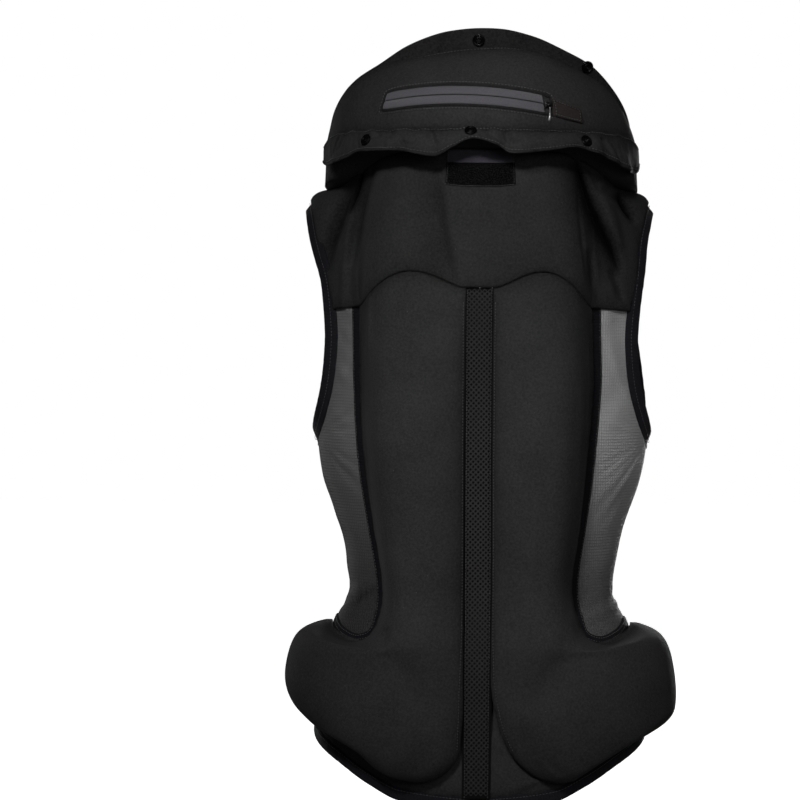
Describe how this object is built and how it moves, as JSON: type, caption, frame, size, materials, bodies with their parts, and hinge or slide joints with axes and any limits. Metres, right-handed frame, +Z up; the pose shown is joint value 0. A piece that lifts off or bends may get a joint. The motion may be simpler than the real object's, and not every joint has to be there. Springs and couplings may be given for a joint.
{
  "type": "airbag vest",
  "caption": "Inflated airbag vest: padded back chambers with hip wings, mesh sides and spine strip, bound armholes and hem, and a raised neck collar with a zip pocket",
  "frame": {"origin": "midway between the shoulders at the level of the shoulder tips, where the vest hangs when worn", "axes": "+Z up along the spine, -Y out of the back, +X to the right as seen from behind"},
  "size_m": [0.3548, 0.2791, 0.7017],
  "materials": {
    "softshell": "matte charcoal woven soft shell with a fine grain",
    "side_mesh": "sheer fine square mesh",
    "spacer_mesh": "open spacer mesh with diamond holes",
    "binding": "ribbed elastic tape, blue black",
    "zip_tape": "satin coated zip tape, mid grey",
    "zip_metal": "dark metal with a bright pull tip",
    "snap_metal": "gloss black press stud",
    "hook_tape": "bristly hook tape"
  },
  "bodies": {
    "root": {"armhole_binding_left": "binding", "armhole_binding_right": "binding", "back_bladder_left": "softshell", "back_bladder_right": "softshell", "collar_bladder": "softshell", "collar_flange": "softshell", "collar_flap": "softshell", "collar_zip_garage": "softshell", "collar_zip_pull": "zip_metal", "collar_zip_slider": "zip_metal", "collar_zip_tape": "zip_tape", "front_panel_left": "softshell", "front_panel_right": "softshell", "front_zip": "zip_tape", "hem_binding": "binding", "hook_patch": "hook_tape", "hook_tab": "hook_tape", "lower_back": "softshell", "mesh_border_left": "binding", "mesh_border_right": "binding", "side_mesh_left": "side_mesh", "side_mesh_right": "side_mesh", "snap_flange_centre": "snap_metal", "snap_flange_right": "snap_metal", "snap_flap_centre": "snap_metal", "snap_flap_left": "snap_metal", "snap_flap_right": "snap_metal", "spine_mesh": "spacer_mesh", "yoke": "softshell"}
  },
  "joints": []
}
